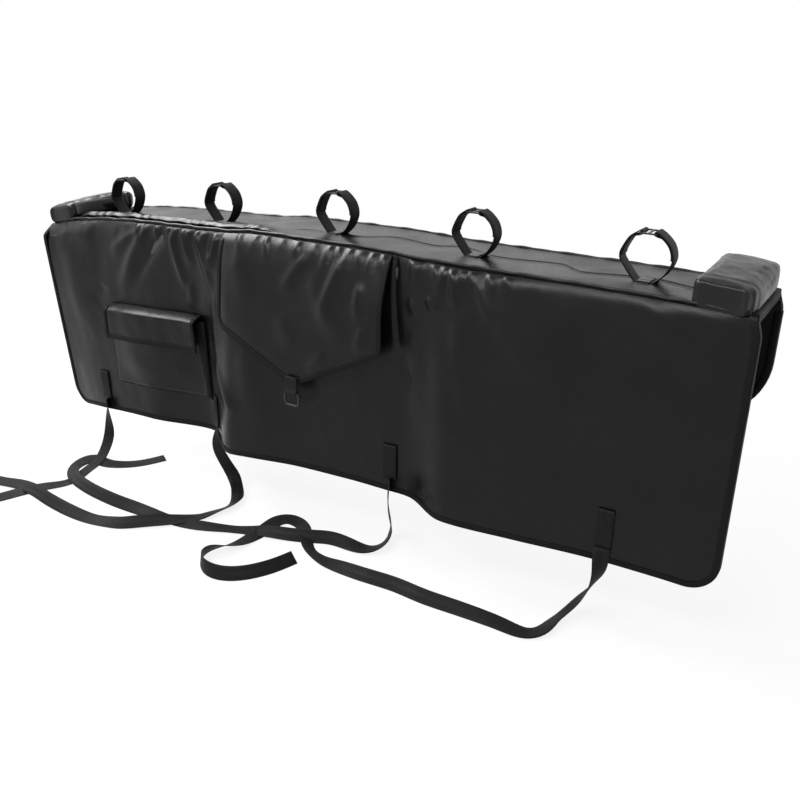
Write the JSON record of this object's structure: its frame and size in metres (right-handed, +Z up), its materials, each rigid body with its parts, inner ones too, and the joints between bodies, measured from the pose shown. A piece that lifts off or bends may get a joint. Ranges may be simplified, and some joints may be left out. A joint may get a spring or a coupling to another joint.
{
  "type": "tailgate bike pad",
  "caption": "Padded coated-fabric saddle that hangs over a pickup tailgate, with webbing rings on top for bike frames, an access flap, a tool pocket and hold-down straps.",
  "frame": {"origin": "middle of the seat, the flat underside of the top lining that lies on the tailgate's top edge", "axes": "+X along the pad to the right as seen from behind the truck, -Y towards the front panel that hangs outside, +Z up"},
  "size_m": [1.5815, 0.8476, 0.6085],
  "materials": {
    "coated_fabric": "semi-gloss black coated woven fabric",
    "foam": "closed-cell foam, dull dark grey",
    "lining": "brushed black fleece",
    "edge_tape": "ribbed black binding tape",
    "webbing": "black polypropylene webbing, satin",
    "moulded_plastic": "moulded black nylon, satin"
  },
  "bodies": {
    "root": {"access_flap": "coated_fabric", "access_flap_tape": "edge_tape", "back_buckle_1": "moulded_plastic", "back_buckle_2": "moulded_plastic", "back_buckle_3": "moulded_plastic", "back_buckle_4": "moulded_plastic", "back_cover": "coated_fabric", "back_edge_tape": "edge_tape", "back_foam": "foam", "back_lining": "lining", "back_seam_piping": "edge_tape", "bike_strap_1": "webbing", "bike_strap_2": "webbing", "bike_strap_3": "webbing", "bike_strap_4": "webbing", "bike_strap_5": "webbing", "bolster_left_cover": "coated_fabric", "bolster_left_foam": "foam", "bolster_right_cover": "coated_fabric", "bolster_right_foam": "foam", "buckle_tab_1": "webbing", "buckle_tab_2": "webbing", "buckle_tab_3": "webbing", "buckle_tab_4": "webbing", "flap_tip_ring": "moulded_plastic", "flap_tip_tab": "webbing", "front_cover": "coated_fabric", "front_edge_tape": "edge_tape", "front_foam": "foam", "front_lining": "lining", "front_seam_piping": "edge_tape", "hold_down_strap_1": "webbing", "hold_down_strap_2": "webbing", "hold_down_strap_3": "webbing", "hold_down_strap_4": "webbing", "pocket_body": "coated_fabric", "pocket_flap": "coated_fabric", "pocket_flap_tape": "edge_tape", "strap_anchor_1": "webbing", "strap_anchor_2": "webbing", "strap_anchor_3": "webbing", "strap_anchor_4": "webbing", "strap_keeper_1": "coated_fabric", "strap_keeper_2": "coated_fabric", "strap_keeper_3": "coated_fabric", "strap_keeper_4": "coated_fabric", "strap_keeper_5": "coated_fabric", "strap_slider_1": "moulded_plastic", "strap_slider_2": "moulded_plastic", "strap_slider_3": "moulded_plastic", "strap_slider_4": "moulded_plastic", "strap_slider_5": "moulded_plastic", "top_cover": "coated_fabric", "top_end_tape_left": "edge_tape", "top_end_tape_right": "edge_tape", "top_foam": "foam", "top_foam_left_slab": "foam", "top_lining": "lining", "window_tape": "edge_tape"}
  },
  "joints": []
}
